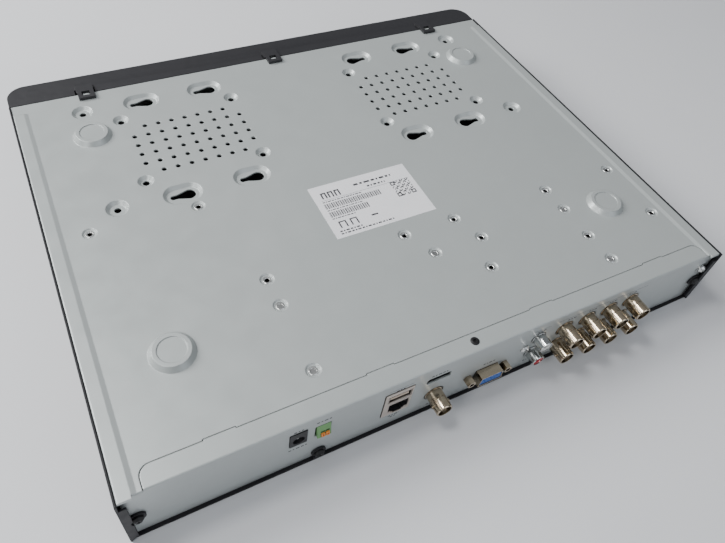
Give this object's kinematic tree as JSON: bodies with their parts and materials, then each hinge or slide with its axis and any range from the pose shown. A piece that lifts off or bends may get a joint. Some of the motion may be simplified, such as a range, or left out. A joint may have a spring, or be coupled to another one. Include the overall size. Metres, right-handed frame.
{
  "type": "video recorder",
  "caption": "Flat security video recorder lying upside down: grey steel underside with vents and drive slots, rear panel of sockets, black cover and front bezel.",
  "frame": {"origin": "bottom centre of the whole part's box; the recorder lies on its top cover", "axes": "+Z out of the recorder's underside, -Y towards its front bezel, +Y out of the rear panel, +X towards the power inlet side"},
  "size_m": [0.3726, 0.3148, 0.0487],
  "materials": {
    "case_steel": "fine satin grey coat",
    "cover_steel": "black textured powder coat",
    "bezel_plastic": "fine spark-eroded texture",
    "window_plastic": "dark gloss",
    "pipe_plastic": "frosted clear",
    "connector_nickel": "warm nickel plate",
    "connector_silver": "bright nickel plate",
    "tin_plate": "tinned sheet",
    "zinc_screw": "zinc plate",
    "black_screw": "black oxide",
    "gold_contact": "gold flash",
    "black_plastic": "moulded",
    "white_plastic": "moulded",
    "beige_plastic": "moulded",
    "red_plastic": "moulded",
    "blue_plastic": "moulded",
    "green_plastic": "moulded",
    "orange_plastic": "moulded",
    "label_film": "printed film",
    "circuit_board": "solder mask",
    "chip_epoxy": "moulded epoxy",
    "heat_sink_metal": "anodised",
    "capacitor_can": "bright can",
    "cell_steel": "stainless"
  },
  "bodies": {
    "recorder": {"base_plate": "case_steel", "rear_panel": "case_steel", "top_cover": "cover_steel", "front_bezel": "bezel_plastic", "front_window": "window_plastic", "light_pipes": "pipe_plastic", "front_usb_shell": "tin_plate", "front_usb_tongue": "black_plastic", "front_board": "circuit_board", "indicator_leds": "white_plastic", "video_out_barrel": "connector_nickel", "video_out_insulator": "white_plastic", "video_out_contact": "gold_contact", "video_out_housing": "black_plastic", "camera_barrels_upper": "connector_nickel", "camera_barrels_lower": "connector_nickel", "camera_insulators": "white_plastic", "camera_contacts": "gold_contact", "camera_socket_housing": "black_plastic", "audio_barrels": "connector_silver", "audio_insert_white": "white_plastic", "audio_insert_red": "red_plastic", "audio_housing": "black_plastic", "vga_shell": "connector_nickel", "vga_insert": "blue_plastic", "vga_posts": "connector_nickel", "hdmi_shell": "black_screw", "hdmi_tongue_moulding": "black_plastic", "usb_lan_shell": "tin_plate", "usb_tongue": "beige_plastic", "usb_contacts": "gold_contact", "lan_insert": "black_plastic", "lan_contacts": "gold_contact", "power_jack": "black_plastic", "power_jack_pin": "connector_silver", "terminal_block": "green_plastic", "terminal_contacts": "connector_silver", "cover_screws": "black_screw", "ground_washer": "zinc_screw", "ground_screw": "zinc_screw", "audio_screw": "zinc_screw", "flange_screw": "black_screw", "threaded_inserts": "zinc_screw", "product_label": "label_film", "main_board": "circuit_board", "board_screws": "zinc_screw", "board_spacers": "gold_contact", "processor": "chip_epoxy", "heat_sink": "heat_sink_metal", "memory_chips": "chip_epoxy", "capacitors": "capacitor_can", "coin_cell_holder": "black_plastic", "coin_cell": "cell_steel", "drive_sockets": "black_plastic", "drive_power_header": "white_plastic"},
    "button_left": {"terminal_button_left": "orange_plastic"},
    "button_right": {"terminal_button_right": "orange_plastic"}
  },
  "joints": [
    {"name": "button_left_slide", "type": "slide", "parent": "recorder", "child": "button_left", "axis": [0, -1, 0], "range_m": [0, 0.001], "stiffness_N_per_m": 200, "springref_m": -0.001},
    {"name": "button_right_slide", "type": "slide", "parent": "recorder", "child": "button_right", "axis": [0, -1, 0], "range_m": [0, 0.001], "stiffness_N_per_m": 200, "springref_m": -0.001}
  ]
}
